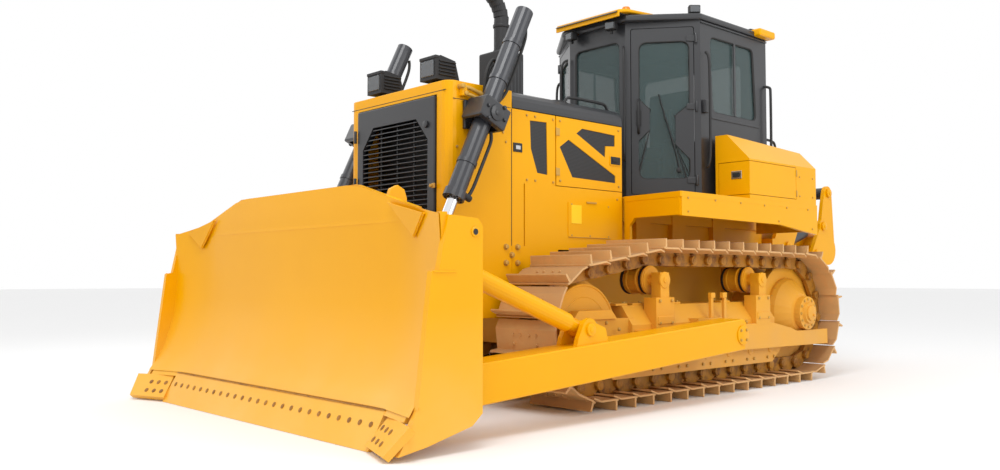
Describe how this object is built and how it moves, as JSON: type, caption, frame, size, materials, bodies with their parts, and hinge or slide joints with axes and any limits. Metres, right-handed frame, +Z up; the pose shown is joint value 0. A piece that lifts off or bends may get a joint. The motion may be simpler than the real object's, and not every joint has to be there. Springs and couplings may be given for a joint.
{
  "type": "crawler bulldozer",
  "caption": "Tracked bulldozer with a wide blade on lift cylinders, an enclosed cab and a rear ripper.",
  "frame": {"origin": "on the ground under the middle of the machine's overall box", "axes": "+Z up, -Y forwards to the blade, +Y back to the ripper, +X to the machine's left"},
  "size_m": [3.6476, 7.0124, 3.395],
  "materials": {
    "yellow": "semi-gloss, dusty",
    "charcoal": "satin",
    "steel": "polished",
    "dusty": "worn, dust in the corners",
    "black": "matte",
    "glass": "clear, lightly tinted",
    "grey": "satin"
  },
  "bodies": {
    "chassis": {"track_left": "dusty", "track_right": "dusty", "idler_left": "yellow", "idler_right": "yellow", "final_drive_left": "yellow", "final_drive_right": "yellow", "track_frame_left": "yellow", "track_frame_right": "yellow", "main_frame": "yellow", "engine_block": "grey", "radiator_guard": "yellow", "radiator_core": "black", "headlamps": "charcoal", "hood_cowl": "charcoal", "side_sheet_left": "yellow", "side_sheet_right": "yellow", "exhaust_stack": "charcoal", "fender_left": "yellow", "fender_right": "yellow", "side_box_left": "yellow", "side_box_right": "yellow", "fuel_tank": "yellow", "cab_shell": "charcoal", "windshield": "glass", "rear_glass": "glass", "side_glass_left": "glass", "side_glass_right": "glass", "cab_roof": "charcoal", "operator_seat": "black", "dashboard": "black", "lift_yoke_left": "charcoal", "lift_yoke_right": "charcoal", "ripper_bracket": "yellow"},
    "blade": {"blade": "yellow", "push_arm_left": "yellow", "push_arm_right": "yellow", "brace_strut": "yellow", "tilt_cylinder": "grey"},
    "lift_barrel_left": {"lift_barrel_left": "grey"},
    "lift_rod_left": {"lift_rod_left": "steel"},
    "lift_barrel_right": {"lift_barrel_right": "grey"},
    "lift_rod_right": {"lift_rod_right": "steel"},
    "ripper_lower_link": {"ripper_lower_link": "yellow"},
    "ripper_beam": {"ripper_beam": "yellow", "ripper_shank": "charcoal"},
    "ripper_upper_links": {"ripper_tilt_cylinders": "grey"},
    "ripper_barrels": {"ripper_lift_barrels": "grey"},
    "ripper_rods": {"ripper_lift_rod_left": "steel", "ripper_lift_rod_right": "steel"},
    "grille_door": {"grille_door": "charcoal"},
    "engine_door_left": {"engine_door_left": "yellow"},
    "engine_door_right": {"engine_door_right": "yellow"},
    "side_box_door": {"side_box_door": "yellow"},
    "cab_door_left": {"cab_door_left": "charcoal", "door_glass_left": "glass"},
    "cab_door_right": {"cab_door_right": "charcoal", "door_glass_right": "glass"}
  },
  "joints": [
    {"name": "blade_lift", "type": "hinge", "parent": "chassis", "child": "blade", "pos_m": [0, 0.036, 0.5], "axis": [-1, 0, 0], "range_deg": [-8.5, 19]},
    {"name": "lift_barrel_left_swing", "type": "hinge", "parent": "chassis", "child": "lift_barrel_left", "pos_m": [0.75, -1.94, 2.13], "axis": [-1, 0, 0], "range_deg": [-7, 14]},
    {"name": "lift_rod_left_slide", "type": "slide", "parent": "lift_barrel_left", "child": "lift_rod_left", "axis": [0, -0.4299, -0.9029], "range_m": [-0.86, 0.39]},
    {"name": "lift_barrel_right_swing", "type": "hinge", "parent": "chassis", "child": "lift_barrel_right", "pos_m": [-0.75, -1.94, 2.13], "axis": [-1, 0, 0], "range_deg": [-7, 14]},
    {"name": "lift_rod_right_slide", "type": "slide", "parent": "lift_barrel_right", "child": "lift_rod_right", "axis": [0, -0.4299, -0.9029], "range_m": [-0.86, 0.39]},
    {"name": "ripper_lift", "type": "hinge", "parent": "chassis", "child": "ripper_lower_link", "pos_m": [0, 2.266, 0.93], "axis": [1, 0, 0], "range_deg": [-55, 2]},
    {"name": "ripper_beam_level", "type": "hinge", "parent": "ripper_lower_link", "child": "ripper_beam", "pos_m": [0, 3.026, 1.22], "axis": [1, 0, 0], "range_deg": [-3, 56]},
    {"name": "ripper_upper_link_swing", "type": "hinge", "parent": "chassis", "child": "ripper_upper_links", "pos_m": [0, 2.546, 1.615], "axis": [1, 0, 0], "range_deg": [-56, 3]},
    {"name": "ripper_barrel_swing", "type": "hinge", "parent": "chassis", "child": "ripper_barrels", "pos_m": [0, 2.386, 1.29], "axis": [1, 0, 0], "range_deg": [-56, 3]},
    {"name": "ripper_rod_slide", "type": "slide", "parent": "ripper_barrels", "child": "ripper_rods", "axis": [0, 0.9578, 0.2873], "range_m": [-0.01, 0.06]},
    {"name": "grille_open", "type": "hinge", "parent": "chassis", "child": "grille_door", "pos_m": [-0.492, -2.21, 1.7], "axis": [0, 0, 1], "range_deg": [-42, 0]},
    {"name": "engine_door_left_open", "type": "hinge", "parent": "chassis", "child": "engine_door_left", "pos_m": [0.634, -1.082, 1.97], "axis": [0, 0, -1], "range_deg": [0, 95]},
    {"name": "engine_door_right_open", "type": "hinge", "parent": "chassis", "child": "engine_door_right", "pos_m": [-0.634, -1.082, 1.97], "axis": [0, 0, 1], "range_deg": [0, 95]},
    {"name": "side_box_open", "type": "hinge", "parent": "chassis", "child": "side_box_door", "pos_m": [1.285, 1.466, 1.84], "axis": [0, 0, 1], "range_deg": [0, 100]},
    {"name": "cab_door_left_open", "type": "hinge", "parent": "chassis", "child": "cab_door_left", "pos_m": [0.84, 0.511, 2.4], "axis": [0, 0, 1], "range_deg": [0, 105]},
    {"name": "cab_door_right_open", "type": "hinge", "parent": "chassis", "child": "cab_door_right", "pos_m": [-0.84, 0.511, 2.4], "axis": [0, 0, -1], "range_deg": [0, 105]}
  ],
  "couplings": [
    {"joint": "lift_barrel_left_swing", "follows": "blade_lift", "ratio": 0.674},
    {"joint": "lift_rod_left_slide", "follows": "blade_lift", "m_per_rad": -2.5209},
    {"joint": "lift_barrel_right_swing", "follows": "blade_lift", "ratio": 0.674},
    {"joint": "lift_rod_right_slide", "follows": "blade_lift", "m_per_rad": -2.5209},
    {"joint": "ripper_beam_level", "follows": "ripper_lift", "ratio": -1},
    {"joint": "ripper_upper_link_swing", "follows": "ripper_lift", "ratio": 1},
    {"joint": "ripper_barrel_swing", "follows": "ripper_lift", "ratio": 0.95008},
    {"joint": "ripper_rod_slide", "follows": "ripper_lift", "m_per_rad": -0.044836}
  ]
}
